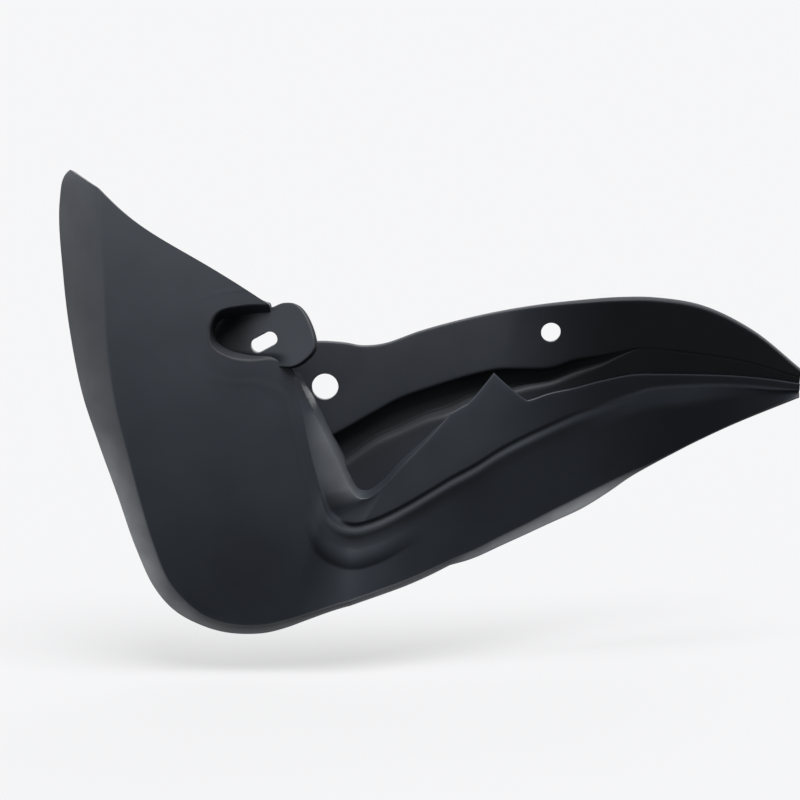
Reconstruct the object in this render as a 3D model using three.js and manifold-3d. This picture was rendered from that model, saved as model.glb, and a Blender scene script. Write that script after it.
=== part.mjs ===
// Wheel-arch mud flap: one flexible moulding, bent by hand between its outer panel and its tail.
// Millimetres. X runs along the channel towards the tail, Y away from the outer face, Z up.
// The origin is on the seat face of the liner flange, 10 mm from its first fastener hole.
import * as THREE from "three";
import { mergeVertices } from "three/addons/utils/BufferGeometryUtils.js";
import Module from "manifold-3d";

const wasm = await Module();
wasm.setup();

// Wall thicknesses and clearances
const SKIN = 2.6;
const WALL = 2.4;
const RIM_SKIN = 2.2;
const GAP = 0.3;
const FLEX_GAP = 0.8; // half the slit left at each flex line
const TOP_SAG = 1.3; // the panel's top edge dips this far below a straight line
const POCKET_WALL = 1.8;
const POCKET_DRAFT = 1.1;
const STEP = 2; // height of the ledge above the skirt's shoulder

// Flex lines
const FOLD_TOP = { x: -18, z: 6 }; // between outer panel and channel
const FOLD_FOOT = { x: -3.5, z: -63 };
const TAIL_X = 84.8; // between channel and tail
const ROOT_END = TAIL_X - FLEX_GAP;
const TAIL_START = TAIL_X + FLEX_GAP;
const TAIL_END = 139;
const GROOVE_END = 60;

// Fastener holes
const HOLE_NEAR = { x: -9.9, z: 0.4, r: 4 };
const HOLE_FAR = { x: 58.4, z: 16.6, r: 3 };
const BIT_LENGTH = 40;
const SLOT = { x: -27.6, z: 15.6, length: 8.5, width: 4.6, tilt: 25 };

const lerp = THREE.MathUtils.lerp;
const smooth = THREE.MathUtils.smoothstep;
const foldX = (z) =>
  FOLD_TOP.x + ((FOLD_TOP.z - z) * (FOLD_FOOT.x - FOLD_TOP.x)) / (FOLD_TOP.z - FOLD_FOOT.z);

// ---- Depths: y of each outer surface -------------------------------------------------------------------

// Outer panel: domed top to bottom, turning away towards its outer edge.
const panelY = (x, z) => -20 + (z + 15) ** 2 / 480 + 0.0014 * Math.max(0, -22 - x) ** 2;

// The channel curves away along X, and its section twists towards the tail.
const bow = (x) => 0.0021 * Math.max(0, x - 5) ** 2;
const twist = (x) => Math.tan(THREE.MathUtils.degToRad(26 * smooth(x, 35, 85)));
const flangeY = (x, z) => -SKIN + bow(x) - (z - 1.5) * twist(x);

// The ledge stands 12.5 mm proud of the flange at the corner and sinks into it at the tail.
const ledgeRise = (x) => 0.8 + 11.7 * (1 - THREE.MathUtils.clamp((x - 2) / 90, 0, 1)) ** 1.6;
const ledgeY = (x, z) => flangeY(x, z) - ledgeRise(x);
const toeY = (x) => -4.5 - 0.155 * (x + 4);
const webY = (x, z) => ledgeY(x, z) + 1;
const grooveY = (x, z) => flangeY(x, z) + 4.6 * (1 - smooth(x, 45, 87));
const tabY = (x, z) => -18.6 - 0.38 * (x + 25) + 0.3 * (z - 11.5);

// ---- Outlines, as [x, z] seen from the outer side ------------------------------------------------------

const curve = (points) =>
  new THREE.CatmullRomCurve3(
    points.map(([x, z]) => new THREE.Vector3(x, 0, z)),
    false,
    "centripetal",
  );

const onFold = (side, ...heights) => heights.map((z) => [foldX(z) + side * FLEX_GAP, z]);

const panelInner = [
  [-30, 30],
  [-34.5, 29],
  [-42.5, 26.8],
  [-46, 20],
  [-45, 13],
  [-40, 9.6],
  [-32, 8.2],
  [-24.5, 9.2],
  [-19.6, 7.8],
  ...onFold(-1, 0, -6, -14, -23, -33, -43, -55, -61.5),
];
const rimCrest = [
  [-77.5, 59],
  [-77, 49.5],
  [-75.5, 31.5],
  [-74.5, 13.5],
  [-72, -4],
  [-68.5, -18.5],
  [-65, -32.5],
  [-61.5, -45],
  [-57, -57],
  [-52, -63.5],
  [-46.5, -68],
  [-39.5, -70.5],
  [-30, -71],
  [-22.5, -69.5],
  [-16, -67.5],
  [-8, -64.7],
  [-4.3, -63.4],
];
const rimEdge = [
  [-86.5, 66],
  [-90.2, 54.5],
  [-89, 33.5],
  [-86.8, 17],
  [-83.1, -1],
  [-78.5, -15],
  [-72.5, -31.5],
  [-67.3, -47.3],
  [-61.8, -59.8],
  [-55.6, -67],
  [-47, -71.5],
  [-39, -73.8],
  [-29, -73.8],
  [-22, -72],
  [-15.5, -69.8],
  [-7.5, -66.7],
  [-3.9, -65.2],
];

const pocketMouth = [
  [-27, 26.9],
  [-33, 26.5],
  [-41, 24.5],
  [-43.5, 20],
  [-43, 15],
  [-39, 12],
  [-33, 10.4],
];
const tabOutline = [
  [-28.5, 24.8],
  [-25.2, 26],
  [-22, 27.3],
  [-18, 27],
  [-14.6, 23],
  [-12.5, 15],
  [-15.5, 11],
  [-19, 9],
  [-24, 9.9],
  [-31, 11],
  [-37.3, 13.6],
  [-41, 16],
  [-41.6, 20],
  [-39.5, 23],
  [-33.5, 24.7],
];

const cornerInner = [
  [-16.2, 4.5],
  [-13.3, -5],
  [-9.8, -13.6],
  [-5.6, -21.5],
  [-1.8, -28.8],
  [0.4, -31.2],
  [3, -31.5],
  [6.7, -29.3],
  [13, -22.5],
  [20, -15.5],
  [25.5, -10.1],
];

// Long rails of the channel, each [x, z]
const flangeTop = [
  [-20.4, 13],
  [-12.9, 14.2],
  [-4, 13.8],
  [1.3, 12.9],
  [8, 13.5],
  [19, 17.3],
  [31, 20.5],
  [43, 23],
  [55, 24.8],
  [67, 26],
  [79, 26.7],
  [90, 26.2],
  [105, 23],
  [122, 14],
  [TAIL_END, 0],
];
const grooveTop = [
  [-8.3, -15.1],
  [-4, -12.8],
  [5, -7.6],
  [12.7, -3.4],
  [20.3, -0.7],
  [28, 1.7],
  [35.4, 3.7],
  [43, 5.1],
  [50.7, 5],
  [58.4, 5.2],
  [66, 7.6],
  [74, 9],
  [86, 11.3],
];
const grooveFoot = [
  [-5, -23.2],
  [5, -16],
  [12.7, -12.4],
  [20.3, -8.8],
  [28, -6.4],
  [34.7, -3.4],
  [46.3, -1],
  [51, 0],
  [58.7, 1.2],
  [66.4, 3.9],
  [74, 6.1],
  [86, 10.7],
];
const ledgeTop = [
  [50.7, -4.2],
  [58.4, -2],
  [66, -0.8],
  [74, 1],
  [82, 2.5],
  [93, 2.2],
  [112.6, 0.7],
  [126, -1.2],
  [TAIL_END, -4],
];
const crease = [
  ...onFold(1, -33),
  [-6, -37],
  [-2, -39],
  [4, -38],
  [12.5, -34.5],
  [20, -30.5],
  [28, -26],
  [35.5, -22.3],
  [43, -18],
  [50.5, -14.6],
  [58.5, -11.5],
  [66, -8.7],
  [74, -6.4],
  [84, -3.5],
  [90, -2],
  [106, -1.7],
  [119, -2.7],
  [TAIL_END, -6],
];
// The lower edge of the skirt at the same stations, with its depth: [x, y, z]
const skirtFoot = [
  [foldX(-62.8) + FLEX_GAP, -15.2, -62.8],
  [2, -13.5, -61.5],
  [8, -11.5, -60],
  [13, -9.5, -58.5],
  [18.5, -7.3, -56.5],
  [23, -5, -55],
  [28, -2.5, -53],
  [35.5, 1, -50.5],
  [43, 4.5, -47.3],
  [50.5, 8, -44.3],
  [58.5, 12, -40.5],
  [66, 15.5, -37],
  [74, 19, -32.5],
  [84, 23, -29.5],
  [90, 25.5, -27.5],
  [106, 29, -21],
  [119, 32, -16],
  [TAIL_END, 38, -9],
];
const CORNER_STATIONS = 2.2; // over these the skirt turns from the panel's dome to the channel's shape

const ledgeInner = [
  [-9.3, -20.4],
  [-5.6, -27.9],
  [-4.2, -30.4],
  [-1.2, -33.6],
  [3.4, -34.4],
  [8.6, -31.6],
  [15, -24.6],
  [22, -17.6],
  [28.2, -11.6],
  [30.2, -6.4],
  [34.7, -4.5],
  [41, -4.5],
  [47, -4.5],
  [50.7, -4.6],
  [58.4, -2.4],
  [66, -1.2],
  [74, 0.6],
  [ROOT_END, 2.2],
];
const ledgeOuter = [
  ...onFold(1, -21, -28.6, -32.5),
  [-5.8, -36.6],
  [-2, -38.5],
  [4, -37.5],
  [12.5, -34],
  [20, -30],
  [27, -26],
  [31, -24],
  [35.5, -21.8],
  [43, -17.5],
  [47, -15.8],
  [50.5, -14.1],
  [58.5, -11],
  [66, -8.2],
  [74, -5.9],
  [ROOT_END, -3],
];
const toothOutline = [
  [35.2, -4.1],
  [49.6, -4.1],
  [44.6, 0.6],
  [41.4, 4.5],
  [40.6, 4.5],
];
const toeTop = [
  [-4.3, -23.8],
  [0, -20.4],
  [5, -16.6],
  [9, -14.6],
  [12.7, -12.8],
  [17, -11],
  [20.3, -9.2],
  [24, -8],
  [27.4, -7],
];
const toeFoot = [
  [-3.9, -24.4],
  [-1.3, -28.4],
  [0.9, -30.6],
  [3.1, -31],
  [6.5, -28.8],
  [12.7, -22],
  [19.7, -15],
  [25, -9.7],
  [27.6, -8.9],
];

const railAt = (points) => {
  const line = curve(points);
  return (u) => line.getPoint(u);
};
// Height of a rail above the X axis at x.
const heightOf = (points) => {
  const line = curve(points);
  const from = points[0][0];
  const to = points[points.length - 1][0];
  return (x) => {
    let low = 0;
    let high = 1;
    for (let i = 0; i < 24; i++) {
      const mid = (low + high) / 2;
      if (line.getPoint(mid).x < THREE.MathUtils.clamp(x, from, to)) low = mid;
      else high = mid;
    }
    return line.getPoint(low).z;
  };
};

const flangeTopZ = heightOf(flangeTop);
const grooveTopZ = heightOf(grooveTop);
const grooveFootZ = heightOf(grooveFoot);
const ledgeTopZ = heightOf(ledgeTop);
const creaseZ = heightOf(crease.slice(2));
const skirtFootAt = (() => {
  const line = new THREE.CatmullRomCurve3(skirtFoot.map((p) => new THREE.Vector3(...p)), false, "centripetal");
  return (u) => line.getPoint(u);
})();

// ---- Solids --------------------------------------------------------------------------------------------

const group = new THREE.Group();
group.name = "mud_flap";

const tpe = (name, shade) =>
  new THREE.MeshStandardMaterial({ name, color: shade, roughness: 0.62, metalness: 0 });

function add(name, geometry, shade = 0x24272c) {
  const mesh = new THREE.Mesh(geometry, tpe(name + "_tpe", shade));
  mesh.name = name;
  group.add(mesh);
}

// Closes a net of rings into one body; each ring is a list of Vector3, the same count in each.
function loft(rings, capSplits) {
  const count = rings[0].length;
  const vertices = rings.flat().flatMap((p) => [p.x, p.y, p.z]);
  const faces = [];
  for (let i = 0; i + 1 < rings.length; i++) {
    for (let j = 0; j < count; j++) {
      const a = i * count + j;
      const b = i * count + ((j + 1) % count);
      faces.push(a, b, a + count, b, b + count, a + count);
    }
  }
  const last = (rings.length - 1) * count;
  for (const quad of capSplits) {
    for (let k = 1; k + 1 < quad.length; k++) {
      faces.push(quad[0], quad[k + 1], quad[k]);
      faces.push(last + quad[0], last + quad[k], last + quad[k + 1]);
    }
  }
  const geometry = new THREE.BufferGeometry();
  geometry.setAttribute("position", new THREE.Float32BufferAttribute(vertices, 3));
  geometry.setIndex(faces);
  return geometry;
}

// A skin behind surface(u, v), with u along and v across. It is laid square to the surface, or straight back.
function skin(surface, along, across, thickness, straight = false) {
  const step = 1e-3;
  const rings = [];
  for (let i = 0; i <= along; i++) {
    const front = [];
    const back = [];
    for (let j = 0; j <= across; j++) {
      const u = i / along;
      const v = j / across;
      const p = surface(u, v);
      const du = surface(Math.min(1, u + step), v).sub(surface(Math.max(0, u - step), v));
      const dv = surface(u, Math.min(1, v + step)).sub(surface(u, Math.max(0, v - step)));
      const inward = straight ? new THREE.Vector3(0, 1, 0) : du.cross(dv).normalize();
      front.push(p);
      back.push(p.clone().addScaledVector(inward, thickness));
    }
    rings.push([...front, ...back.reverse()]);
  }
  const width = across + 1;
  const caps = [];
  for (let j = 0; j < across; j++) {
    caps.push([j, j + 1, 2 * width - 2 - j, 2 * width - 1 - j]);
  }
  return loft(rings, caps);
}

// A skin ruled between two outlines, at the depth that depth(x, z) gives.
const ruled = (inner, outer, depth) => (u, v) => {
  const a = inner(u);
  const b = outer(u);
  const x = lerp(a.x, b.x, v);
  const z = lerp(a.z, b.z, v);
  return new THREE.Vector3(x, depth(x, z), z);
};

function solid(geometry) {
  return new wasm.Manifold(
    new wasm.Mesh({
      numProp: 3,
      vertProperties: new Float32Array(geometry.attributes.position.array),
      triVerts: new Uint32Array(geometry.index.array),
    }),
  );
}
function geometryOf(made) {
  const mesh = made.getMesh();
  const geometry = new THREE.BufferGeometry();
  geometry.setAttribute("position", new THREE.BufferAttribute(mesh.vertProperties, 3));
  geometry.setIndex(new THREE.BufferAttribute(mesh.triVerts, 1));
  return geometry;
}
// A round bit along the depth axis.
function bit({ x, z, r }) {
  return wasm.Manifold.cylinder(BIT_LENGTH, r, r, 32, true).rotate([90, 0, 0]).translate([x, 0, z]);
}
function drill(geometry, ...holes) {
  return geometryOf(holes.reduce((made, hole) => made.subtract(bit(hole)), solid(geometry)));
}

// ---- Panel side ----------------------------------------------------------------------------------------

const crestOfRim = railAt(rimCrest);
const edgeOfRim = railAt(rimEdge);
const flatPanel = ruled(railAt(panelInner), crestOfRim, panelY);
const panelFace = (u, v) => {
  const p = flatPanel(u, v);
  const z = p.z - TOP_SAG * Math.sin(Math.PI * v) * (1 - smooth(u, 0, 0.08));
  return new THREE.Vector3(p.x, panelY(p.x, z), z);
};
add("outer_panel", skin(panelFace, 48, 8, SKIN), 0x3a3d42);

// The rim rolls back from its crest by about two thirds of its own width.
const rimRoll = (u, v) => {
  const a = crestOfRim(u);
  const b = edgeOfRim(u);
  const width = a.distanceTo(b);
  const start = GAP / width;
  const x = lerp(a.x, b.x, lerp(start, 1, v));
  const z = lerp(a.z, b.z, lerp(start, 1, v));
  return new THREE.Vector3(x, panelY(x, z) + (1 + 0.62 * width) * v ** 1.5, z);
};
add("panel_rim", skin(rimRoll, 48, 3, RIM_SKIN, true), 0x2f3238);

// The scoop: a steep wall from the panel's face down to the sunk end of the tab.
const mouth = curve(pocketMouth);
const pocketWall = (u, v) => {
  const p = mouth.getPoint(u);
  const t = mouth.getTangent(u);
  const inset = POCKET_DRAFT * (1 - v);
  const x = p.x - t.z * inset;
  const z = p.z + t.x * inset;
  const face = panelY(p.x, p.z);
  return new THREE.Vector3(x, lerp(Math.max(tabY(x, z), face + 1), face, v), z);
};
add("screw_pocket", skin(pocketWall, 24, 3, POCKET_WALL), 0x24272c);

// A flat plate of the given outline, laid at depth(x, z).
function slab(outline, depth, thickness, holes = []) {
  const shape = new THREE.Shape(outline.map(([x, z]) => new THREE.Vector2(x, z)));
  shape.holes = holes.map((hole) => new THREE.Path(hole.map(([x, z]) => new THREE.Vector2(x, z))));
  const block = new THREE.ExtrudeGeometry(shape, { depth: thickness, bevelEnabled: false });
  block.deleteAttribute("normal");
  block.deleteAttribute("uv");
  const plate = mergeVertices(block, 1e-4);
  const at = plate.attributes.position;
  for (let i = 0; i < at.count; i++) {
    const [x, z, deep] = [at.getX(i), at.getY(i), at.getZ(i)];
    at.setXYZ(i, x, depth(x, z) + deep, z);
  }
  const order = Array.from(plate.index.array);
  for (let i = 0; i < order.length; i += 3) {
    [order[i + 1], order[i + 2]] = [order[i + 2], order[i + 1]];
  }
  plate.setIndex(order);
  return plate;
}
function stadium({ x, z, length, width, tilt }) {
  const r = width / 2;
  const reach = length / 2 - r;
  const lean = THREE.MathUtils.degToRad(tilt);
  const points = [];
  for (let i = 0; i < 24; i++) {
    const turn = ((i + 0.5) / 24) * 2 * Math.PI;
    const along = Math.sign(Math.cos(turn)) * reach + r * Math.cos(turn);
    const up = r * Math.sin(turn);
    points.push([
      x + along * Math.cos(lean) - up * Math.sin(lean),
      z + along * Math.sin(lean) + up * Math.cos(lean),
    ]);
  }
  return points;
}
const tabEdge = curve([...tabOutline, tabOutline[0]]).getPoints(60).slice(0, -1);
add(
  "mounting_tab",
  slab(
    tabEdge.map((p) => [p.x, p.z]),
    tabY,
    SKIN,
    [stadium(SLOT)],
  ),
  0x45484d,
);

// ---- Channel -------------------------------------------------------------------------------------------

// The return wall runs down the panel's inner side, round the corner and along the ledge's inner edge.
const corner = curve(cornerInner);
const wallRings = [];
for (let i = 0; i <= 40; i++) {
  const u = i / 40;
  const p = corner.getPoint(u);
  const t = corner.getTangent(u);
  const room = 0.97 * (p.x - foldX(p.z) - FLEX_GAP);
  const thick = u < 0.5 ? Math.min(WALL, room) : WALL;
  const front = lerp(-17.4, ledgeY(p.x, p.z), smooth(u, 0, 0.55));
  const back = lerp(0, toeY(p.x) + SKIN, smooth(u, 0.4, 0.55));
  const outer = [p.x + t.z * thick, p.z - t.x * thick];
  wallRings.push([
    new THREE.Vector3(p.x, front, p.z),
    new THREE.Vector3(outer[0], front, outer[1]),
    new THREE.Vector3(outer[0], back, outer[1]),
    new THREE.Vector3(p.x, back, p.z),
  ]);
}
add("return_wall", loft(wallRings, [[0, 1, 2, 3]]), 0x3f4248);

// The ledge starts as the narrow band beside the panel and turns the corner into the long step.
const bandY = (x, z) => lerp(-19, ledgeY(x, z), smooth(x - foldX(z), 0, 7));
const ledgeDepth = (x, z) => (z < -18 && x < 0 ? bandY(x, z) : ledgeY(x, z));
add("ledge", skin(ruled(railAt(ledgeInner), railAt(ledgeOuter), ledgeDepth), 60, 5, SKIN), 0x3b3e44);
add("gusset_tooth", slab(toothOutline, ledgeY, SKIN), 0x3b3e44);
add("toe_floor", skin(ruled(railAt(toeTop), railAt(toeFoot), toeY), 24, 4, SKIN), 0x2a2d33);

const acrossX = (from, to) => (u) => lerp(from, to, u);
const strip = (x, top, foot, depth) => (u, v) => {
  const at = x(u);
  const z = lerp(top(at), foot(at), v);
  return new THREE.Vector3(at, depth(at, z), z);
};
add(
  "channel_web",
  skin(strip(acrossX(51.2, ROOT_END), grooveFootZ, (x) => ledgeTopZ(x) + 0.5, webY), 16, 2, SKIN),
  0x2a2d33,
);

// The groove that takes the arch lip: a trough behind the flange's lower edge.
const grooveRings = [];
for (let i = 0; i <= 24; i++) {
  const at = lerp(-2.9, GROOVE_END, i / 24);
  const top = grooveTopZ(at);
  const foot = grooveFootZ(at);
  const cover = lerp(at < 27 ? toeY(at) : ledgeY(at, foot), webY(at, foot), smooth(at, 46, 52));
  const slant = 0.47 * (1 - smooth(at, -3, 15));
  const corner3 = (y, z) => new THREE.Vector3(at - slant * (z - foot + WALL), y, z);
  const floor = grooveY(at, foot);
  const behind = cover + SKIN + 0.4 + 1.2 * smooth(at, 44, 58);
  grooveRings.push([
    corner3(flangeY(at, top) + SKIN + 0.4, top + WALL),
    corner3(flangeY(at, top) + SKIN + 0.4, top),
    corner3(Math.max(floor, flangeY(at, top) + SKIN + 0.6), top),
    corner3(floor, foot),
    corner3(behind, foot),
    corner3(behind, foot - WALL),
    corner3(floor + WALL, foot - WALL),
    corner3(floor + WALL, top + WALL),
  ]);
}
const grooveCaps = [[0, 1, 2, 7], [2, 3, 6, 7], [3, 4, 5, 6]];
add("lip_groove", loft(grooveRings, grooveCaps), 0x1c1e22);

// The liner flange, with its slanted near end against the return wall.
const flange = (u, v) => {
  const topX = lerp(-19, ROOT_END, u);
  const footX = lerp(-8.2, ROOT_END, u);
  const foot = Math.max(grooveTopZ(footX), footX > 60 ? grooveFootZ(footX) + 1 : -Infinity);
  const x = lerp(topX, footX, v);
  const z = lerp(flangeTopZ(topX), foot, v);
  return new THREE.Vector3(x, flangeY(x, z), z);
};
add(
  "liner_flange",
  drill(
    skin(flange, 44, 5, SKIN),
    HOLE_NEAR,
    HOLE_FAR,
  ),
  0x2f3238,
);

// The skirt hangs from a rounded shoulder under the ledge; at the corner it runs out of the panel's dome.
const creaseAt = railAt(crease);
const STATIONS = skirtFoot.length - 1;
const skirt = (u, v) => {
  const a = creaseAt(u);
  const d = skirtFootAt(u);
  const down = new THREE.Vector3(d.x - a.x, 0, d.z - a.z).normalize();
  const own = smooth(u * STATIONS, 0, CORNER_STATIONS);
  const along = (distance, rise) => {
    const x = a.x + down.x * distance;
    const z = a.z + down.z * distance;
    return new THREE.Vector3(x, lerp(panelY(x, z), ledgeY(a.x, a.z) + rise, own), z);
  };
  const step = STEP * (1 - smooth(a.x, 60, 95));
  const section = [along(0.6, step + 0.2), along(2.6, 0.5), along(6, STEP + 0.4), d];
  return new THREE.CatmullRomCurve3(section, false, "centripetal").getPoint(v);
};
const inStations = (from, to, surface) => (u, v) => surface(lerp(from, to, u) / STATIONS, v);
add("corner_skirt", skin(inStations(0, 5.93, skirt), 24, 9, SKIN), 0x33363b);
add("skirt", skin(inStations(6.13, 13, skirt), 28, 9, SKIN), 0x22252a);

const skirtRim = (u, v) => {
  const a = creaseAt(u);
  const d = skirtFootAt(u);
  const down = new THREE.Vector3(d.x - a.x, 0, d.z - a.z).normalize();
  const out = lerp(GAP, 2 + 2.4 * smooth(d.x, 48, 64) * (1 - smooth(d.x, 74, 84)), v);
  return new THREE.Vector3(d.x + down.x * out, d.y + 1.8 * v ** 1.5, d.z + down.z * out);
};
add("skirt_rim", skin(inStations(0, 13, skirtRim), 40, 2, RIM_SKIN, true), 0x4a4d52);

// ---- Tail ----------------------------------------------------------------------------------------------

add(
  "tail_flange",
  skin(strip(acrossX(TAIL_START, TAIL_END), flangeTopZ, (x) => ledgeTopZ(x) + 0.5, flangeY), 24, 5, SKIN),
  0x1c1e22,
);
const tailSkirt = (u, v) => {
  const a = creaseAt(u);
  const d = skirtFootAt(u);
  const top = ledgeTopZ(a.x) - 0.2;
  const bead = new THREE.Vector3(a.x, ledgeY(a.x, top), top);
  const under = new THREE.Vector3(a.x, ledgeY(a.x, a.z), a.z);
  return new THREE.CatmullRomCurve3([bead, under, d], false, "centripetal").getPoint(v);
};
add("tail_skirt", skin(inStations(13.25, STATIONS, tailSkirt), 24, 8, SKIN), 0x22252a);

export default group;
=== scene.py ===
import math

import bmesh
import bpy
from mathutils import Matrix, Vector


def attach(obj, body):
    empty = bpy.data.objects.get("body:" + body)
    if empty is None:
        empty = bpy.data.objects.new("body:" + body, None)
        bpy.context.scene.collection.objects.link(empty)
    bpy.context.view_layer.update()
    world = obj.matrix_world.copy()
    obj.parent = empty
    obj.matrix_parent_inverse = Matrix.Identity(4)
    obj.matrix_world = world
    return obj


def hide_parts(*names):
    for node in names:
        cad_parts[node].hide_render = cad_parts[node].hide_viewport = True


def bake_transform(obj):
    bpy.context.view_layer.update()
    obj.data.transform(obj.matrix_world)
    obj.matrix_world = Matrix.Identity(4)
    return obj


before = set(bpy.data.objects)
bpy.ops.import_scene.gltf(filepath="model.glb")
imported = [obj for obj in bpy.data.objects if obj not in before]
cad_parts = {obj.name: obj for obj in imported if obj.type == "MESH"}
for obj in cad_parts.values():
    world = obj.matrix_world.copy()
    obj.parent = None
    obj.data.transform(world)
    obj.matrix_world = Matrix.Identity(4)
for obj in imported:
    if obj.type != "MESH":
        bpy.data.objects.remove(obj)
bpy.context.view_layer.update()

# A wheel-arch mud flap moulded in one piece from thermoplastic elastomer. It is drawn as a few skins that
# follow the moulding's own edges. Lengths below are millimetres in the part's frame; meshes are in metres.
MM = 0.001

# Walls and sizes
SKIN = 2.4
GROOVED_SKIN = 3.4  # the wall is thicker behind the crease that is pressed into it
RIM_SKIN = 2.0
TAB_PLATE = 2.6

PART_X = 28.0  # the outer skin is parted here, in a stretch that never bends
TAIL_END = 139.0
CREASE_DEPTH = 0.95
CREASE_REACH = 1.0  # from the crease's lip down to its floor
CREST_REACH = 3.1  # and on to the crest below it
CREST_SUNK = 0.4  # how far behind the ledge that crest lies
FACE_SUNK = 2.3
ROLL_HEIGHT = 1.1  # the roll of material under the inner corner
ROLL_WIDTH = 14.5
FACE_START = 6.5  # the open face begins this far below the crease
WALL_DRAFT = 1.0
RIM_BACK = 1.84  # how far the skirt's rim lies behind the skirt's foot
RIM_ROLL = 0.45  # 0 for a flat chamfer, 1 for a rim that rolls smoothly out of the face
RIM_HIGHLIGHT = 1.3  # painted highlight: above 1 it paints the rim pale right across
# A faint painted highlight along the crest below the crease
CREST_HIGHLIGHT = 0.03
TOP_SAG = 2.35  # how far the panel's top edge hangs hollow
CORNER_FULLNESS = 1.2  # how far the top corner swells outwards

# Holes: centre and size
HOLE_NEAR = (-9.9, 0.4, 4.0)
HOLE_FAR = (58.4, 16.6, 3.0)
SLOT_CENTRE = (-27.6, 15.6)
SLOT_LENGTH = 8.5
SLOT_WIDTH = 4.3
SLOT_TILT = 29.0


# ---- Shape laws ------------------------------------------------------------------------------------------

def clamp(x, low=0.0, high=1.0):
    return max(low, min(high, x))


def lerp(a, b, t):
    return a + (b - a) * t


def smooth(x, low, high):
    t = clamp((x - low) / (high - low))
    return t * t * (3 - 2 * t)


def panel_y(x, z):
    """The outer panel's dome."""
    return -20 + (z + 15) ** 2 / 480 + 0.0014 * max(0.0, -22 - x) ** 2


def flange_y(x, z):
    """The flange bows away along the channel and twists towards the tail."""
    twist = math.tan(math.radians(26 * smooth(x, 35, 85)))
    return -2.6 + 0.0021 * max(0.0, x - 5) ** 2 - (z - 1.5) * twist


def ledge_y(x, z):
    """The ledge stands proud at the corner and sinks into the flange at the tail."""
    return flange_y(x, z) - 0.8 - 11.7 * (1 - clamp((x - 2) / 90)) ** 1.6


def toe_y(x):
    return -4.5 - 0.155 * (x + 4)


def groove_y(x, z):
    return flange_y(x, z) + 4.6 * (1 - smooth(x, 45, 87))


def tab_y(x, z):
    return -18.6 - 0.38 * (x + 25) + 0.3 * (z - 11.5)


def spline(points, u):
    """A curve through the points, at u from 0 to the number of spans."""
    i = int(clamp(math.floor(u), 0, len(points) - 2))
    t = u - i
    b, c = Vector(points[i]), Vector(points[i + 1])
    a = Vector(points[i - 1]) if i > 0 else 2 * b - c
    d = Vector(points[i + 2]) if i + 2 < len(points) else 2 * c - b
    ab, bc, cd = [max((q - p).length ** 0.5, 1e-3) for p, q in ((a, b), (b, c), (c, d))]
    leave = ((b - a) / ab - (c - a) / (ab + bc) + (c - b) / bc) * bc
    reach = ((c - b) / bc - (d - b) / (bc + cd) + (d - c) / cd) * bc
    return (b * (2 * t**3 - 3 * t**2 + 1) + leave * (t**3 - 2 * t**2 + t)
            + c * (3 * t**2 - 2 * t**3) + reach * (t**3 - t**2))


def height_at(points, x):
    """The z of a rail that runs along X."""
    low, high = 0.0, float(len(points) - 1)
    x = clamp(x, points[0][0], points[-1][0])
    for _ in range(22):
        mid = (low + high) / 2
        if spline(points, mid)[0] < x:
            low = mid
        else:
            high = mid
    return spline(points, low)[1]


# ---- Solids ----------------------------------------------------------------------------------------------

ROUND_ROWS = 4


def set_in(keys, along, walls):
    """The hidden side's keys: each corner set in by its wall, along the mitre."""
    inner = []
    steps = [b - a for a, b in zip(keys, keys[1:])]
    for k, key in enumerate(keys):
        beside = steps[max(k - 1, 0):k + 1]
        inward = [along[k].cross(step).normalized() for step in beside]
        mitre = inward[0]
        if len(inward) == 2:
            mitre = (inward[0] + inward[1]) / max(0.55, 1 + inward[0].dot(inward[1]))
        inner.append(key + mitre * walls[k])
    return inner


def ring(keys, radii, counts, bulge=None):
    """One closed section. Every corner is rounded, and bulge(run, t) pushes a run's points back."""
    n = len(keys)
    ends = []
    for k in range(n):
        back, ahead = keys[k - 1] - keys[k], keys[(k + 1) % n] - keys[k]
        reach = min(radii[k], 0.45 * back.length, 0.45 * ahead.length)
        ends.append((keys[k] + back.normalized() * reach, keys[k] + ahead.normalized() * reach, reach))
    points = []
    for k in range(n):
        a, b = keys[k], keys[(k + 1) % n]
        span = max((b - a).length, 1e-6)
        first, last = ends[k][2] / span, 1 - ends[(k + 1) % n][2] / span
        for i in range(counts[k]):
            t = lerp(first, last, i / counts[k])
            points.append(a.lerp(b, t) + Vector((0, bulge(k, t) if bulge else 0, 0)))
        before, after, reach = ends[(k + 1) % n]
        span = max((keys[(k + 2) % n] - b).length, 1e-6)
        push = (bulge(k, last), bulge((k + 1) % n, reach / span)) if bulge else (0, 0)
        for i in range(ROUND_ROWS):
            t = i / ROUND_ROWS
            corner = before * (1 - t) ** 2 + b * 2 * t * (1 - t) + after * t * t
            points.append(corner + Vector((0, lerp(*push, t), 0)))
    return points


def ring_rows(counts, per_key):
    """A value for each point of a ring. A key holds two: where a run reaches it and where one leaves it."""
    rows, n = [], len(counts)
    for k in range(n):
        leave, (reach, onward) = per_key[k][1], per_key[(k + 1) % n]
        rows += [lerp(leave, reach, i / counts[k]) for i in range(counts[k])]
        rows += [lerp(reach, onward, i / ROUND_ROWS) for i in range(ROUND_ROWS)]
    return rows


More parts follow.
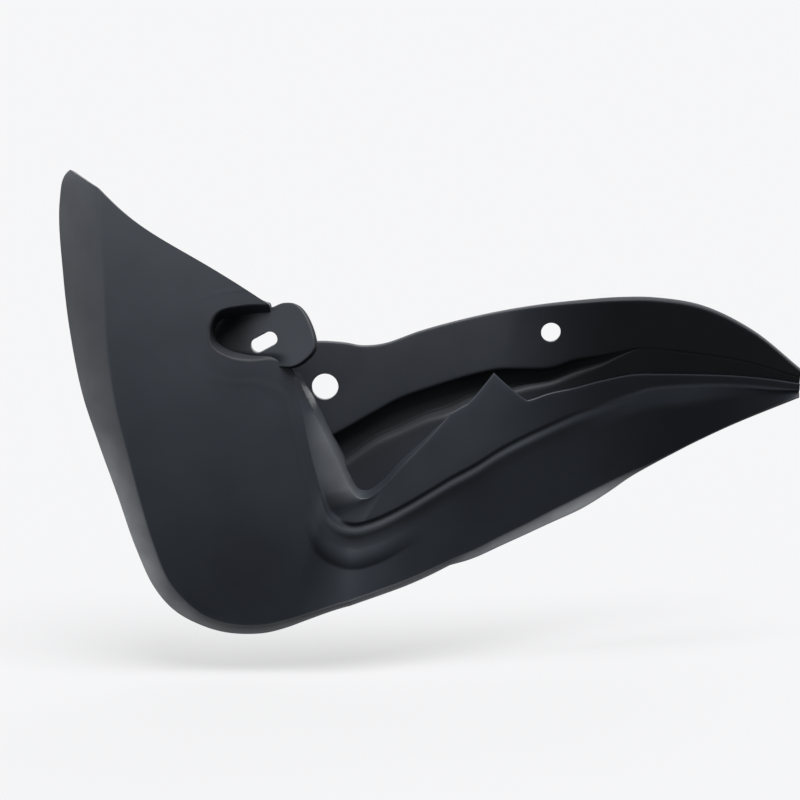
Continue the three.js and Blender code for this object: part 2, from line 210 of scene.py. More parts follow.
def loft(rings, painted_light):
    """A closed solid through rings of points. Its painted light says how much painted highlight (to 1) or
    painted shade (to -1) each point gets.
    """
    along, around = len(rings) - 1, len(rings[0])
    bm = bmesh.new()
    bmesh.ops.create_grid(bm, x_segments=along, y_segments=around, size=0.5)
    light_paint = bm.verts.layers.float.new("painted_light")
    for v in bm.verts:
        i, j = round((v.co.x + 0.5) * along), round((v.co.y + 0.5) * around) % around
        v.co = rings[i][j] * MM
        v[light_paint] = painted_light[i][j]
    bmesh.ops.remove_doubles(bm, verts=bm.verts, dist=1e-7)
    ends = bmesh.ops.holes_fill(bm, edges=[e for e in bm.edges if e.is_boundary], sides=0)["faces"]
    bmesh.ops.triangulate(bm, faces=ends, quad_method="BEAUTY", ngon_method="BEAUTY")
    bmesh.ops.recalc_face_normals(bm, faces=bm.faces)
    return bm


def cylinder(x, z, r):
    """A round bit along the depth axis."""
    bm = bmesh.new()
    bmesh.ops.create_cone(bm, cap_ends=True, segments=64, radius1=r * MM, radius2=r * MM, depth=0.06)
    bmesh.ops.rotate(bm, verts=bm.verts, matrix=Matrix.Rotation(math.radians(90), 3, "X"))
    bmesh.ops.translate(bm, verts=bm.verts, vec=(x * MM, 0, z * MM))
    return bm


def punch(piece, *bits):
    """Cuts the bits out of a piece and keeps the result as its mesh."""
    for bm in bits:
        mesh = bpy.data.meshes.new("bit")
        bm.to_mesh(mesh)
        bm.free()
        tool = bpy.data.objects.new("bit", mesh)
        bpy.context.scene.collection.objects.link(tool)
        cut = piece.modifiers.new("cut", "BOOLEAN")
        cut.operation = "DIFFERENCE"
        cut.solver = "EXACT"
        cut.object = tool
        bpy.context.view_layer.update()
        seen = piece.evaluated_get(bpy.context.evaluated_depsgraph_get())
        solid = bpy.data.meshes.new_from_object(seen)
        piece.modifiers.clear()
        piece.data = solid
        bpy.data.objects.remove(tool)
    return piece


def make(name, bm, finish, slot_name, *nodes):
    """Turns a bmesh into a shown piece that stands for the CAD nodes."""
    mesh = bpy.data.meshes.new(name)
    for f in bm.faces:
        f.smooth = True
    for e in bm.edges:
        e.smooth = not e.is_manifold or e.calc_face_angle(0) < math.radians(38)
    bm.to_mesh(mesh)
    bm.free()
    piece = bpy.data.objects.new(name, mesh)
    bpy.context.scene.collection.objects.link(piece)
    mesh.materials.append(finish)
    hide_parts(*nodes)
    return piece


# ---- Finishes --------------------------------------------------------------------------------------------

def linear(code):
    """An sRGB hex colour as linear RGBA."""
    parts = [int(code[i:i + 2], 16) / 255 for i in (1, 3, 5)]
    return [c / 12.92 if c <= 0.04045 else ((c + 0.055) / 1.055) ** 2.4 for c in parts] + [1.0]


def node(tree, kind, inputs=(), **settings):
    """Adds a node with its settings. An input is given a value, or an output to link from."""
    made = tree.nodes.new(kind)
    for key, value in settings.items():
        setattr(made, key, value)
    for key, value in dict(inputs).items():
        if isinstance(value, bpy.types.NodeSocket):
            tree.links.new(value, made.inputs[key])
        else:
            made.inputs[key].default_value = value
    return made


# The near-black that painted shade darkens the skin towards
PAINTED_SHADE_COLOUR = "#040405"

# Where a Mix node keeps its share, its two colours and the mixed colour
MIX_SHARE, MIX_FIRST, MIX_SECOND = 0, 6, 7
MIX_COLOUR = 2


def moulded_tpe(name, dark, light, light_paint):
    """Thermoplastic elastomer, injection moulded in a spark-eroded tool: a near-black satin skin with a
    fine even grain and faint flow mottling. The painted light on the mesh paints a highlight, paler and
    smoother, where it is above 0, and paints shade, darker and duller, where it is below 0."""
    material = bpy.data.materials.new(name)
    material.use_nodes = True
    tree = material.node_tree
    shader = tree.nodes["Principled BSDF"]
    shader.inputs["IOR"].default_value = 1.5
    shader.inputs["Specular IOR Level"].default_value = 0.3
    place = node(tree, "ShaderNodeTexCoord").outputs["Object"]
    # Flow mottling about 25 mm across
    mottle = node(tree, "ShaderNodeTexNoise", {"Vector": place, "Scale": 40.0, "Detail": 3.0})
    mottled = {"Value": mottle.outputs["Fac"], "From Min": 0.3, "From Max": 0.7}
    tone = node(tree, "ShaderNodeMapRange", mottled)
    skin = node(tree, "ShaderNodeMix", {
        MIX_SHARE: tone.outputs["Result"], MIX_FIRST: linear(dark), MIX_SECOND: linear(light),
    }, data_type="RGBA")
    painted_light = node(tree, "ShaderNodeAttribute", attribute_name="painted_light").outputs["Fac"]
    # Painted shade: below 0 the mesh's value darkens the skin towards near-black and makes it duller
    painted_shade = node(tree, "ShaderNodeMapRange", {
        "Value": painted_light, "From Min": -1.0, "From Max": 0.0, "To Min": 0.92, "To Max": 0.0,
    })
    # The painted highlight comes in patches about 8 mm across
    patches = node(tree, "ShaderNodeTexNoise", {"Vector": place, "Scale": 130.0, "Detail": 4.0})
    highlight_patchiness = node(tree, "ShaderNodeMapRange", {
        "Value": patches.outputs["Fac"], "From Min": 0.25, "From Max": 0.75, "To Min": 0.7, "To Max": 1.0,
    })
    # Painted highlight: above 0 the mesh's value pales the skin and makes it glossier
    highlight_share = node(tree, "ShaderNodeMath", {
        0: painted_light, 1: highlight_patchiness.outputs["Result"],
    }, operation="MULTIPLY", use_clamp=True)
    shaded = node(tree, "ShaderNodeMix", {
        MIX_SHARE: painted_shade.outputs["Result"], MIX_FIRST: skin.outputs[MIX_COLOUR],
        MIX_SECOND: linear(PAINTED_SHADE_COLOUR),
    }, data_type="RGBA")
    coat = node(tree, "ShaderNodeMix", {
        MIX_SHARE: highlight_share.outputs[0], MIX_FIRST: shaded.outputs[MIX_COLOUR], MIX_SECOND: linear(light_paint),
    }, data_type="RGBA")
    tree.links.new(coat.outputs[MIX_COLOUR], shader.inputs["Base Color"])
    satin = node(tree, "ShaderNodeMapRange", mottled | {"To Min": 0.50, "To Max": 0.58})
    gloss = node(tree, "ShaderNodeMath", {
        0: highlight_share.outputs[0], 1: -0.12, 2: satin.outputs["Result"],
    }, operation="MULTIPLY_ADD")
    matt = node(tree, "ShaderNodeMath", {
        0: painted_shade.outputs["Result"], 1: 0.4, 2: gloss.outputs[0],
    }, operation="MULTIPLY_ADD", use_clamp=True)
    tree.links.new(matt.outputs[0], shader.inputs["Roughness"])
    # Spark-erosion grain drawn 0.5 mm from pit to pit, so that it shows; the real one is nearer 0.1 mm
    grain = node(tree, "ShaderNodeTexVoronoi", {"Vector": place, "Scale": 2000.0}, feature="SMOOTH_F1")
    bump = node(tree, "ShaderNodeBump", {
        "Height": grain.outputs["Distance"], "Strength": 0.12, "Distance": 0.0001,
    })
    tree.links.new(bump.outputs["Normal"], shader.inputs["Normal"])
    return material


# ---- Outer skin: pocket wall, panel, fold, band, ledge, crease, corner skirt and rim ---------------------
# Rails run by station, as (x, z): 0-8 round the screw pocket, 9-13 down the fold, 14-20 along the ledge.

INNER_EDGE = [
    (-25.8, 26.7), (-33, 26.5), (-41, 24.5), (-43.5, 20), (-43, 15), (-39, 12), (-32, 10.7), (-24.8, 11),
    (-19.7, 8.9), (-17.8, 5.2), (-13.2, -4.4), (-8.8, -13.6), (-5.1, -21.5), (-1.9, -28.8), (0.2, -31.2),
    (3, -31.5), (6.7, -29.3), (13, -22.5), (20, -15.5), (25, -10.2), (PART_X, -6.7),
]
FOLD = [
    (-17.9, 4.6), (-15.9, -5), (-14.2, -14), (-12.2, -22.5), (-10, -30), (-8.2, -34.8), (-4.8, -38),
    (-1.3, -39.1), (5.5, -37.6), (14, -33.8), (21.5, -29.7), (PART_X, -26),
]
RIM_CREST = [
    (-77.8, 60.7), (-77, 49.5), (-75.5, 31.5), (-74.5, 13.5), (-72, -4), (-68.5, -18.5), (-65, -32.5),
    (-61.5, -45), (-57, -57), (-52, -63.5), (-46.5, -68), (-39.5, -70.5), (-30, -71), (-22.5, -69.5),
    (-16, -67.5), (-8, -64.7), (-1.5, -62.7), (6.5, -60.4), (14, -58.2), (21, -55.7), (PART_X, -53),
]
RIM_EDGE = [
    (-87.1, 65.5), (-90.4, 56), (-89, 33.5), (-86.8, 17), (-83.1, -1), (-78.5, -15), (-72.5, -31.5),
    (-67.3, -47.3), (-61.8, -60.1), (-55.6, -67.5), (-47, -72.1), (-39, -74.2), (-29, -74.2), (-22, -72.4),
    (-15.5, -69.8), (-7.5, -66.7), (-1.1, -64.7), (7.1, -62.4), (14.6, -60.2), (21.6, -57.7), (PART_X, -55),
]
POCKET_END, CREST_TOP = -25.8, -77.5  # the top edge hangs hollow between these
STATIONS = 20
COLUMNS = 240
NOTCH = 8.6  # the pocket's wall ends here and the band begins
FIRST_FOLD = 9


def foot_y(x, z):
    """Depth along the rim's crest: the dome, then the skirt's lower edge leaning away."""
    along = x + 2.7
    return panel_y(x, z) if along < 0 else -15.2 + 0.34 * along + 0.0023 * along ** 2


def at_depth(point, depth):
    return Vector((point[0], depth, point[1]))


def skin_keys(u):
    """The outer skin's corners at a station, from the wall's deep edge to the rim's outer edge."""
    edge, crest, rim = (spline(rail, u) for rail in (INNER_EDGE, RIM_CREST, RIM_EDGE))
    rim[0] -= CORNER_FULLNESS * (u / 0.3) * math.exp(1 - u / 0.3) * (1 - smooth(u, 0.4, 1.3))
    ledge = smooth(u, 9, 14.5)
    corner = smooth(u, 12.3, 15)
    own = smooth(u, 13, 16.1)
    if u < FIRST_FOLD:
        fold = edge + (crest - edge).normalized() * lerp(2.0, 0.7, smooth(u, 7.5, FIRST_FOLD))
    else:
        fold = spline(FOLD, u - FIRST_FOLD)
    down = (crest - fold).normalized()
    lip = lerp(panel_y(*edge), -17.4, smooth(u, 8, 9.3))
    lip = lerp(lip, ledge_y(*edge), ledge)
    keys = [at_depth(edge, lip), at_depth(fold, lerp(panel_y(*fold), ledge_y(*fold), corner))]
    groove = CREASE_DEPTH * smooth(u, 12.3, 14.3)
    for distance, sunk, pressed in (
        (CREASE_REACH, groove, groove), (CREST_REACH, CREST_SUNK, 0), (FACE_START, FACE_SUNK, 0),
    ):
        p = fold + down * distance
        depth = lerp(panel_y(*p) + pressed, ledge_y(*fold) + sunk, own)
        keys.append(at_depth(p, depth - roll_height(u, distance)))
    keys.append(at_depth(crest, foot_y(*crest)))
    roll_back = 0.6 + 0.62 * (rim - crest).length
    keys.append(at_depth(rim, foot_y(*rim) + roll_back))
    return [wall_foot(u, edge, lip)] + keys


def roll_height(u, distance):
    """The roll of material under the inner corner, by the distance below the crease."""
    rolled = smooth(u, 12.2, 13.8) * (1 - smooth(u, 16.8, 19))
    return ROLL_HEIGHT * rolled * math.sin(math.pi * clamp(distance / ROLL_WIDTH) ** 2.1)


def wall_foot(u, edge, lip):
    """The deep edge of the wall behind the skin's inner edge."""
    before, after = spline(INNER_EDGE, max(u - 0.05, 0)), spline(INNER_EDGE, min(u + 0.05, STATIONS))
    run = (after - before).normalized()
    out = Vector((-run[1], run[0]))
    if u < NOTCH:
        draft = lerp(3.6, 1.1, smooth(u, 1.6, 3.4)) * (1 - smooth(u, 6.6, 8))
        p = edge + out * draft
        return at_depth(p, max(tab_y(*p) + 1.4, lip + 1.6))
    p = edge + out * WALL_DRAFT * smooth(u, 9, 10)
    deep = lerp(0.6, 4.0, smooth(-p[1], 9, 14))
    deep = lerp(deep, toe_y(p[0]) + 1.8, smooth(-p[1], 24, 27) if u < 14 else 1)
    deep = lerp(lip + 2.4, deep, smooth(u, NOTCH, 9.3))
    parting = smooth(u, 18.5, STATIONS)
    return at_depth(p.lerp(edge, parting), lerp(max(deep, lip + 1.6), lip + 2.2, parting))


def alongs(keys_at, u, step=0.02, last=STATIONS):
    """Which way the rails run at u, one direction for each key."""
    runs = [b - a for a, b in zip(keys_at(max(u - step, 0)), keys_at(min(u + step, last)))]
    return [run.normalized() if run.length > 1e-6 else Vector((1, 0, 0)) for run in runs]


# A skin's section: 8 corners on the shown side, then the same 8 on the hidden side, going back
SKIN_COUNTS = [6, 8, 2, 3, 5, 40, 8]
SKIN_RING = SKIN_COUNTS + [3] + SKIN_COUNTS[::-1] + [2]
SKIN_WALLS = [SKIN, SKIN, GROOVED_SKIN, GROOVED_SKIN, GROOVED_SKIN, SKIN, RIM_SKIN, RIM_SKIN]
FACE_RUN, RIM_RUN = 5, 6  # the run down the open face, and the run over the rim
HIDDEN_FACE_RUN, HIDDEN_RIM_RUN = 9, 8
HIDDEN_RADII = [0.7, 0.6, 1.5, 1, 1, 1, 0.9, 0.5]


def skin_radii(soft_edge, soft_fold):
    """How round each corner of the skin is. A soft fold is the panel's turn into the band."""
    edge, fold, crest = lerp(0.5, 2.2, soft_edge), lerp(0.6, 4.0, soft_fold), lerp(2.6, 0.6, soft_fold)
    return [0.5, edge, fold, 0.7, crest, 3.5, 0.5, 0.6] + HIDDEN_RADII


def skin_painted_light(pocket, band, groove, crest, rim):
    """The painted light at each corner, where a run reaches it and where one leaves it: painted shade in
    the pocket and the crease, painted highlights on the band, the crest and the rim.
    """
    return [
        (-0.35 * pocket, -0.35 * pocket),
        (-0.45 * pocket + 0.12 * band, 0.12 * band - 0.4 * pocket),
        (0.04 * band - 0.1 * groove, 0.04 * band - 0.1 * groove),
        (-0.15 * groove, -0.15 * groove),
        (crest, crest),
        (0.6 * crest, 0),
        (0, 0.35 * rim),
        (rim, rim),
        (0.6 * rim, 0),
    ] + [(0, 0)] * 7


def under_crease(keys):
    """The corners that the hidden side follows: it doesn't dip where the crease is pressed in."""
    flat = list(keys)
    flat[3] = keys[2].lerp(keys[4], 0.4)
    return flat


def skin_ring(u):
    keys = skin_keys(u)
    square = smooth(u, 18, STATIONS)
    along = [a.lerp(Vector((1, 0, 0)), square).normalized() for a in alongs(skin_keys, u)]
    hidden = set_in(under_crease(keys), along, SKIN_WALLS)[::-1]
    own = smooth(u, 13, 16.1)

    def push(run, t):
        """The panel's dome, the corner's roll and the rim's roll, as pushes from the straight section."""
        if run in (FACE_RUN, HIDDEN_FACE_RUN):
            t = t if run == FACE_RUN else 1 - t
            a, b = keys[5], keys[6]
            p = a.lerp(b, t)
            dome = panel_y(p.x, p.z) - lerp(panel_y(a.x, a.z), panel_y(b.x, b.z), t)
            roll = roll_height(u, FACE_START + t * (b - a).length) - (1 - t) * roll_height(u, FACE_START)
            return dome * (1 - own) - roll
        if run in (RIM_RUN, HIDDEN_RIM_RUN):
            t = t if run == RIM_RUN else 1 - t
            return RIM_ROLL * (keys[7].y - keys[6].y) * (t ** 1.5 - t)
        return 0

    soft_fold = smooth(u, 8.5, 9.5) * (1 - smooth(u, 12.2, 13.8))
    soft_edge = 1 - smooth(u, 2, 3.6) + smooth(u, 5, 6.5) * (1 - smooth(u, 8.4, 9))
    return ring(keys + hidden, skin_radii(soft_edge, soft_fold), SKIN_RING, push)


def outer_skin(finish):
    rings, painted_light = [], []
    for i in range(COLUMNS + 1):
        u = STATIONS * i / COLUMNS
        points = skin_ring(u)
        # The panel's top edge hangs slightly hollow
        hollow = TOP_SAG * (1 - smooth(u, 0, 1.9))
        if hollow:
            for p in points:
                t = clamp((p.x - POCKET_END) / (CREST_TOP - POCKET_END))
                drop = hollow * math.sin(math.pi * t ** 2.3)
                p.y += panel_y(p.x, p.z - drop) - panel_y(p.x, p.z)
                p.z -= drop
        rings.append(points)
        # Painted light: painted shade in the pocket, its mouth and the crease, painted highlights on the
        # band, the crest and the rim
        pocket = smooth(u, 0.8, 2.6) * (1 - smooth(u, 8, 8.8))
        mouth = smooth(u, 8.2, 8.8) * (1 - smooth(u, 9.2, 10.2))
        band = smooth(u, 9.6, 11) * (1 - smooth(u, 13, 15))
        groove = smooth(u, 13.5, 15)
        crest = CREST_HIGHLIGHT * smooth(u, 12, 13.5)
        rim = lerp(0.1, RIM_HIGHLIGHT, smooth(u, 2, 9.5))
        painted_light.append(ring_rows(SKIN_RING, skin_painted_light(pocket + 0.5 * mouth, band, groove, crest, rim)))
    bm = loft(rings, painted_light)
    piece = make(
        "outer_skin", bm, finish, "tpe_face", "outer_panel", "panel_rim", "screw_pocket", "corner_skirt",
        "return_wall", "ledge", "skirt_rim",
    )
    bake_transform(piece)
    return piece


# ---- Long skirt: the ledge with its tooth, the crease, the skirt and its rim, out to the tail ------------

LEDGE_TOP = [
    (PART_X, -6.7), (34.5, -3.7), (43, -4.0), (51, -4), (58.4, -2), (66, -0.8), (74, 1), (84, 2.5),
    (93, 2.2), (112.6, 0.7), (126, -1.2), (TAIL_END, -4),
]
TOOTH_PEAK = (41, 4.9)
TOOTH_FEET = (32.8, 51.3)
CREASE = [
    (PART_X, -26), (35.5, -22.3), (43, -18), (50.5, -14.6), (58.5, -11.5), (66, -8.7), (74, -6.4),
    (84, -3.5), (90, -2), (106, -1.7), (119, -2.7), (TAIL_END, -6),
]
SKIRT_FOOT = [
    (PART_X, -53), (35.5, -50.5), (43, -47.3), (50.5, -44.3), (58.5, -40.9), (66, -37.8), (74, -34.4),
    (84, -30.3), (90, -28.2), (106, -20.8), (119, -15.3), (TAIL_END, -8.2),
]
SKIRT_FOOT_DEPTH = [
    (PART_X, -2.6), (35.5, 1), (43, 4.5), (50.5, 8), (58.5, 12), (66, 15.5), (74, 19), (84, 23), (90, 25.5),
    (106, 29), (119, 32), (TAIL_END, 38),
]
# The rim under the skirt widens towards the second hole and then runs out: (x, width)
RIM_WIDTH = [
    (PART_X, 2.0), (33, 2.7), (41, 3.3), (50, 3.6), (61, 4.2), (70, 4.5), (78, 3.5), (84, 2.2), (90, 1.2),
    (100, 0.8), (TAIL_END, 0.8),
]


def ledge_top_z(x):
    """The ledge's upper edge, with the tooth standing on it."""
    base = height_at(LEDGE_TOP, x)
    if TOOTH_FEET[0] < x < TOOTH_FEET[1]:
        foot = TOOTH_FEET[0] if x < TOOTH_PEAK[0] else TOOTH_FEET[1]
        t = (x - foot) / (TOOTH_PEAK[0] - foot)
        return max(base, lerp(height_at(LEDGE_TOP, foot), TOOTH_PEAK[1], t ** 1.15))
    return base


def skirt_keys(x):
    """The long skirt's corners at x, in the same order as the outer skin's."""
    top = ledge_top_z(x)
    crease = height_at(CREASE, x)
    crease = min(crease, top - 1.6)
    foot = height_at(SKIRT_FOOT, x)
    depth = height_at(SKIRT_FOOT_DEPTH, x)
    fade = 1 - smooth(x, 48, 90)
    lip, ledge = ledge_y(x, top), ledge_y(x, crease)
    groove = CREASE_DEPTH * fade
    near, far = min(FACE_START, 0.3 * (crease - foot)), min(CREST_REACH, 0.15 * (crease - foot))
    rim = height_at(RIM_WIDTH, x)
    return [
        Vector((x, lip + 2.2, top)),
        Vector((x, lip, top)),
        Vector((x, ledge, crease)),
        Vector((x, ledge + groove, crease - min(CREASE_REACH, 0.9 * far))),
        Vector((x, ledge + CREST_SUNK, crease - far)),
        Vector((x, ledge + lerp(1.2, FACE_SUNK, fade), crease - near)),
        Vector((x, depth, foot)),
        Vector((x, depth + RIM_BACK, foot - rim)),
    ]


def skirt_ring(x):
    keys = skirt_keys(x)
    hidden = set_in(under_crease(keys), [Vector((1, 0, 0))] * len(keys), SKIN_WALLS)[::-1]

    def push(run, t):
        if run in (RIM_RUN, HIDDEN_RIM_RUN):
            t = t if run == RIM_RUN else 1 - t
            return RIM_ROLL * RIM_BACK * (t ** 1.5 - t)
        return 0

    return ring(keys + hidden, skin_radii(0, 0), SKIN_RING, push)


def long_skirt(finish):
    columns = round(2 * (TAIL_END - PART_X))
    rings = [skirt_ring(lerp(PART_X, TAIL_END, i / columns)) for i in range(columns + 1)]
    # Painted light: painted shade in the crease, a painted highlight on the crest that fades along, and one
    # on the rim
    painted_light = []
    for i in range(columns + 1):
        crest = CREST_HIGHLIGHT * (1 - smooth(lerp(PART_X, TAIL_END, i / columns), 40, 75))
        painted_light.append(ring_rows(SKIN_RING, skin_painted_light(0, 0, 1, crest, RIM_HIGHLIGHT)))
    bm = loft(rings, painted_light)
    piece = make(
        "long_skirt", bm, finish, "tpe_face", "skirt", "skirt_rim", "tail_skirt", "ledge", "gusset_tooth",
    )
    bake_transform(piece)
    return piece


# ---- Channel lining: the liner flange, the groove for the arch lip and the toe, as one folded sheet ------

FLANGE_TOP = [
    (-20.4, 13), (-12.9, 14.2), (-4, 13.8), (1.3, 12.9), (8, 13.5), (19, 17.3), (31, 20.5), (43, 23),
    (55, 24.8), (67, 26), (79, 26.7), (90, 26.2), (105, 23), (122, 14), (TAIL_END, 0),
]
GROOVE_TOP = [
    (-12, -17.2), (-8.3, -15.1), (-4, -12.8), (5, -7.6), (12.7, -3.4), (20.3, -0.7), (28, 1.7), (35.4, 3.7),
    (43, 5.1), (50.7, 5), (58.4, 5.2), (66, 7.6), (74, 9), (86, 11.3), (100, 9.5), (120, 5.2),
    (TAIL_END, -1.6),
]
GROOVE_FOOT = [
    (-12, -27.2), (-5, -23.2), (5, -16), (12.7, -12.4), (20.3, -8.8), (28, -6.4), (34.7, -3.4), (46.3, -1),
    (51, 0), (58.7, 1.2), (66.4, 3.9), (74, 6.1), (86, 10.7), (100, 8.7), (120, 4.4), (TAIL_END, -2.4),
]
TOE_FOOT = [
    (-9, -22), (-3.9, -29), (-1.3, -30.5), (0.9, -32.4), (3.1, -32.6), (6.5, -30.6), (12.7, -23.8),
    (19.7, -16.8), (25, -11.7), (28.5, -9.9), (34.5, -7.4), (50, -5.5), (58.4, -3.6), (66, -2.4),
    (74, -0.6), (84, 1),
    (93, 0.8), (112.6, -0.7), (126, -2.6), (TAIL_END, -5.4),
]
LINING_START = -13.4
LINING_COLUMNS = 200
LINING_COUNTS = [26, 4, 8, 6, 8]
LINING_RING = LINING_COUNTS + [3] + LINING_COUNTS[::-1] + [3]
LINING_RADII = [0.6, 1.1, 0.9, 0.9, 1.6, 0.5] + [0.5, 0.8, 1.2, 1.2, 0.8, 0.6]
LINING_SLANT = 0.42  # the sheet's near edge follows the return wall


def on_slant(start, rail):
    """Where a section that leans with the return wall crosses a rail."""
    lean = LINING_SLANT * (1 - smooth(start, LINING_START, 22))
    x = start
    for _ in range(8):
        z = height_at(rail, x)
        x = start - lean * (z + 15)
    return x, z


def lining_keys(start):
    """The lining's corners: flange top, groove's lip, its back corners, its lower edge, the toe's foot."""
    (xa, za), (xb, zb) = on_slant(start, FLANGE_TOP), on_slant(start, GROOVE_TOP)
    (xc, zc), (xd, zd) = on_slant(start, GROOVE_FOOT), on_slant(start, TOE_FOOT)
    zc = min(zc, zb - 0.5)
    zd = min(zd, zc - 0.8)
    front = lerp(toe_y(xc), ledge_y(xc, zc) + 1.1, smooth(xc, 24, 31))
    front = lerp(front, flange_y(xc, zc) + 0.1, smooth(xc, 76, 92))
    foot = lerp(toe_y(xd), ledge_y(xd, zd) + 1.2, smooth(xd, 24, 31))
    deep = groove_y(xb, zb) + 0.1
    deep_foot = max(groove_y(xc, zc) + 0.1, front)
    return [
        Vector((xa, flange_y(xa, za), za)),
        Vector((xb, flange_y(xb, zb), zb)),
        Vector((xb, deep, zb - 0.15)),
        Vector((xc, deep_foot, zc + 0.15)),
        Vector((xc, front, zc)),
        Vector((xd, foot, zd)),
    ]


def lining_ring(start):
    keys = lining_keys(start)
    hidden = set_in(keys, [Vector((1, 0, 0))] * len(keys), [SKIN] * len(keys))[::-1]
    return ring(keys + hidden, LINING_RADII, LINING_RING)


def channel_lining(finish):
    rings, painted_light = [], []
    for i in range(LINING_COLUMNS + 1):
        x = lerp(LINING_START, TAIL_END, i / LINING_COLUMNS)
        rings.append(lining_ring(x))
        # Painted shade: the groove and the toe are painted darker and duller until the groove runs out, and
        # the flange is painted darker towards the tail; near its start the flange gets a faint painted
        # highlight
        sunk = 1 - smooth(x, 66, 88)
        shade = -0.5 * smooth(x, 42, 80)
        flange, wall = (shade + 0.06, shade + 0.06), (-0.6 * sunk + shade * (1 - sunk),) * 2
        toe = (wall[0], shade - 0.35 * sunk)
        shown = [flange, (shade, wall[0]), wall, wall, toe, (shade, 0)]
        painted_light.append(ring_rows(LINING_RING, shown + [(0, 0)] * 6))
    bm = loft(rings, painted_light)
    piece = make(
        "channel_lining", bm, finish, "tpe_channel", "liner_flange", "lip_groove", "toe_floor",
        "channel_web", "tail_flange",
    )
    punch(piece, cylinder(*HOLE_NEAR), cylinder(*HOLE_FAR))
    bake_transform(piece)
    return piece


# ---- Mounting tab ----------------------------------------------------------------------------------------

TAB_OUTLINE = [
    (-28.5, 25.4), (-25.2, 26), (-22, 27.3), (-18, 27), (-14.6, 23), (-12.5, 15), (-15.5, 11), (-19, 9),
    (-24, 8.6), (-31.3, 8.8), (-38, 10.7), (-43.4, 13.7), (-44.8, 20), (-41.6, 25.3), (-33.8, 26.8),
]
TAB_MIDDLE = (-27, 17.5)
TAB_THROUGH = (0.38, 1, -0.3)  # square to the plate, into the body
TAB_AROUND, TAB_FACE_ROWS, TAB_EDGE_ROWS = 144, 22, 5
TAB_EDGE = 0.45  # radius of its rounded edge


def tab_depth(x, z):
    """The tab's face: it lifts out of the pocket and flattens towards its round end."""
    root = (1 - smooth(z, 9, 13)) * (1 - smooth(x, -25, -19))
    return tab_y(x, z) + 0.014 * max(0.0, -27 - x) ** 2 + 1.6 * root


def tab_column(u):
    """Points over the face from the middle, round the edge and back under, at one place round the plate."""
    loop = TAB_OUTLINE[-1:] + TAB_OUTLINE + TAB_OUTLINE[:2]
    through = Vector(TAB_THROUGH).normalized()
    middle = Vector(TAB_MIDDLE)
    rim = spline(loop, 1 + len(TAB_OUTLINE) * u)
    out = (rim - middle).normalized()
    inner = rim - out * TAB_EDGE
    over = [middle.lerp(inner, j / TAB_FACE_ROWS) for j in range(TAB_FACE_ROWS)]
    column = [at_depth(p, tab_depth(*p)) for p in over]
    for turn, deep in ((0, TAB_EDGE), (90, TAB_PLATE - TAB_EDGE)):
        for j in range(TAB_EDGE_ROWS + 1):
            a = math.radians(turn + 90 * j / TAB_EDGE_ROWS)
            p = inner + out * TAB_EDGE * math.sin(a)
            column.append(at_depth(p, tab_depth(*p)) + through * (deep - TAB_EDGE * math.cos(a)))
    return column + [at_depth(p, tab_depth(*p)) + through * TAB_PLATE for p in reversed(over)]


def tab_painted_light(side, x, z):
    """Painted shade round the plate's side and at the end deep in the pocket, and a painted highlight on
    its back edge.
    """
    edge = -0.8 if 0.3 < side < 0.75 else 0.25 if 0.75 <= side <= 1 else 0
    return edge - 0.8 * smooth(-x, 27.5, 36) * (1 - smooth(z, 21, 26) * 0.5)


def mounting_tab(finish):
    rings = [tab_column((i % TAB_AROUND) / TAB_AROUND) for i in range(TAB_AROUND + 1)]
    rows = len(rings[0])
    bm = bmesh.new()
    bmesh.ops.create_grid(bm, x_segments=TAB_AROUND, y_segments=rows - 1, size=0.5)
    # Painted light on the tab: painted shade round its side and deep in the pocket, a painted highlight on
    # its back edge
    painted_light = bm.verts.layers.float.new("painted_light")
    for v in bm.verts:
        i, j = round((v.co.x + 0.5) * TAB_AROUND), round((v.co.y + 0.5) * (rows - 1))
        v.co = rings[i][j] * MM
        side = (j - TAB_FACE_ROWS) / (rows - 2 * TAB_FACE_ROWS)
        v[painted_light] = tab_painted_light(side, v.co.x / MM, v.co.z / MM)
    bmesh.ops.remove_doubles(bm, verts=bm.verts, dist=1e-7)
    bmesh.ops.recalc_face_normals(bm, faces=bm.faces)
    piece = make("mounting_tab_plate", bm, finish, "tpe_face", "mounting_tab")
    punch(piece, slot_bit())
    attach(piece, "panel")
    return piece


def slot_bit():
    """A long hole's bit: two round ends joined by straight flats, tilted."""
    r = SLOT_WIDTH / 2
    bm = cylinder(0, 0, r)
    reach = SLOT_LENGTH / 2 - r
    for v in bm.verts:
        v.co.x += math.copysign(reach * MM, v.co.x)
    bmesh.ops.rotate(bm, verts=bm.verts, matrix=Matrix.Rotation(math.radians(-SLOT_TILT), 3, "Y"))
    bmesh.ops.translate(bm, verts=bm.verts, vec=(SLOT_CENTRE[0] * MM, 0, SLOT_CENTRE[1] * MM))
    return bm


# ---- Studio ----------------------------------------------------------------------------------------------

CAMERA_DISTANCE = 0.9
CAMERA_TILT = 8.0
AIM = (0.01273, -0.00055, -0.0039)
LENS = 133.65
FLOOR_Z = -0.0862


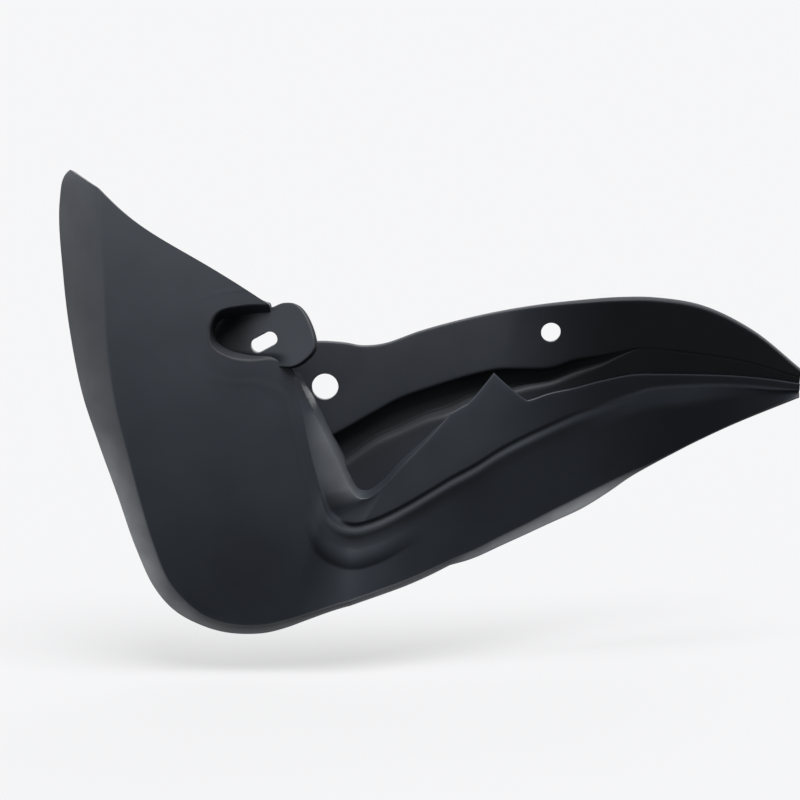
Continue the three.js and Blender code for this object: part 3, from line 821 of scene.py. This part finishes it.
def studio():
    scene = bpy.context.scene
    scene.view_settings.view_transform = "Standard"
    tilt = math.radians(CAMERA_TILT)
    camera = bpy.data.objects.new("camera", bpy.data.cameras.new("camera"))
    scene.collection.objects.link(camera)
    camera.location = Vector(AIM) + CAMERA_DISTANCE * Vector((0, -math.cos(tilt), math.sin(tilt)))
    camera.rotation_euler = (math.radians(90) - tilt, 0, 0)
    camera.data.lens = LENS
    camera.data.sensor_width = 36
    camera.data.clip_end = 200
    scene.camera = camera

    bm = bmesh.new()
    bmesh.ops.create_grid(bm, x_segments=1, y_segments=1, size=60)
    bmesh.ops.translate(bm, verts=bm.verts, vec=(0, 0, FLOOR_Z))
    mesh = bpy.data.meshes.new("floor")
    bm.to_mesh(mesh)
    bm.free()
    floor = bpy.data.objects.new("floor", mesh)
    scene.collection.objects.link(floor)
    mesh.materials.append(pale_floor())
    floor.visible_diffuse = False
    floor.visible_glossy = False
    scene.world = studio_air()
    sky_panel("overhead_light", 7.2, 42, (0.14, -0.38, 0.91))
    sky_panel("left_fill", 0.8, 60, (-0.85, -0.35, 0.4))
    sky_panel("back_fill", 1.6, 60, (0.3, 0.85, 0.42))


def sky_panel(name, strength, width, toward):
    """A distant round soft light: its width in degrees and the direction it shines from."""
    light = bpy.data.objects.new(name, bpy.data.lights.new(name, "SUN"))
    light.data.energy = strength
    light.data.angle = math.radians(width)
    light.rotation_euler = Vector(toward).to_track_quat("Z", "Y").to_euler()
    bpy.context.scene.collection.objects.link(light)


def pale_floor():
    """A matt white sweep that glows a little, so that it stays even and its shadows stay faint."""
    paint = bpy.data.materials.new("matt_white_sweep")
    paint.use_nodes = True
    coat = paint.node_tree.nodes["Principled BSDF"]
    coat.inputs["Base Color"].default_value = (0.11, 0.11, 0.113, 1)
    coat.inputs["Roughness"].default_value = 0.9
    coat.inputs["Specular IOR Level"].default_value = 0.0
    coat.inputs["Emission Color"].default_value = (1, 1, 1, 1)
    coat.inputs["Emission Strength"].default_value = 0.595
    return paint


def studio_air():
    """Soft light all round: bright overhead, dim at the sides and dark below; the camera sees it pale."""
    world = bpy.data.worlds.new("studio")
    world.use_nodes = True
    tree = world.node_tree
    toward = node(tree, "ShaderNodeTexCoord").outputs["Generated"]
    height = node(tree, "ShaderNodeSeparateXYZ", {"Vector": toward})
    glow = node(tree, "ShaderNodeMapRange", {
        "Value": height.outputs["Z"], "From Min": -0.35, "From Max": 0.9, "To Min": 0.12, "To Max": 0.69,
    }, interpolation_type="SMOOTHSTEP")
    background = tree.nodes["Background"]
    background.inputs["Color"].default_value = (0.95, 0.97, 1.0, 1.0)
    seen = node(tree, "ShaderNodeLightPath").outputs["Is Camera Ray"]
    pale = node(tree, "ShaderNodeMapRange", {
        "Value": seen, "To Min": glow.outputs["Result"], "To Max": 0.96,
    })
    tree.links.new(pale.outputs["Result"], background.inputs["Strength"])
    return world


studio()
# The third colour of each finish is its painted highlight's. The channel's copy of the same TPE is darker
# all over, as painted shade inside the channel, with a weaker painted highlight
face_finish = moulded_tpe("moulded_tpe_face", "#1d2026", "#22262c", "#b2b4b8")
shaded_channel_finish = moulded_tpe("moulded_tpe_channel_shaded", "#191c22", "#1f2228", "#7a7c80")
outer_skin(face_finish)
long_skirt(face_finish)
channel_lining(shaded_channel_finish)
mounting_tab(face_finish)
